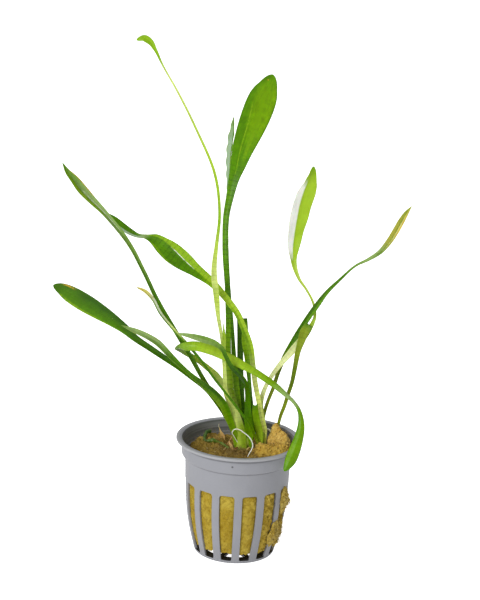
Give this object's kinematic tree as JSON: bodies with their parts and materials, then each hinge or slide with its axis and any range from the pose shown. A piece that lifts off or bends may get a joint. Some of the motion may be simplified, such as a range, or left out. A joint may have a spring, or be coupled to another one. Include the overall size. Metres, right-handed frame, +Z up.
{
  "type": "potted dwarf sagittaria",
  "caption": "Dwarf sagittaria aquarium plant with slender spoon-tipped leaves, two crowns and a rock wool plug in a slotted grey net pot.",
  "frame": {"origin": "middle of the net pot's flat underside, where it stands", "axes": "+Z up, from the pot's foot to the leaf tips; -Y towards the side that the picture shows, +X to its right"},
  "size_m": [0.1511, 0.0842, 0.2394],
  "materials": {
    "grey_plastic": "satin",
    "wool_gold": "matte",
    "wool_pale": "matte",
    "sheath_green": "satin",
    "leaf_green": "satin",
    "leaf_bright": "satin",
    "root_white": "satin",
    "dry_tan": "matte"
  },
  "bodies": {
    "root": {"net_pot": "grey_plastic", "rock_wool_plug": "wool_gold", "loose_wool_tuft": "wool_pale", "crown_left": "sheath_green", "crown_right": "sheath_green", "leaf_tall_thin": "leaf_bright", "leaf_tall_broad": "leaf_green", "leaf_grey_narrow": "leaf_green", "leaf_short_sheath": "leaf_bright", "leaf_far_left": "leaf_green", "leaf_spoon_middle": "leaf_green", "leaf_cut_dark": "leaf_green", "leaf_cut_square": "leaf_green", "leaf_folded_left": "leaf_green", "leaf_long_loop": "leaf_green", "leaf_thin_yellow_tip": "leaf_green", "leaf_low_broad": "leaf_green", "leaf_low_narrow": "leaf_green", "leaf_bright_spoon": "leaf_bright", "leaf_right_dark": "leaf_green", "leaf_cut_right": "leaf_green", "leaf_stump": "leaf_green", "root_loop": "root_white", "dried_leaf_scrap": "dry_tan"}
  },
  "joints": []
}
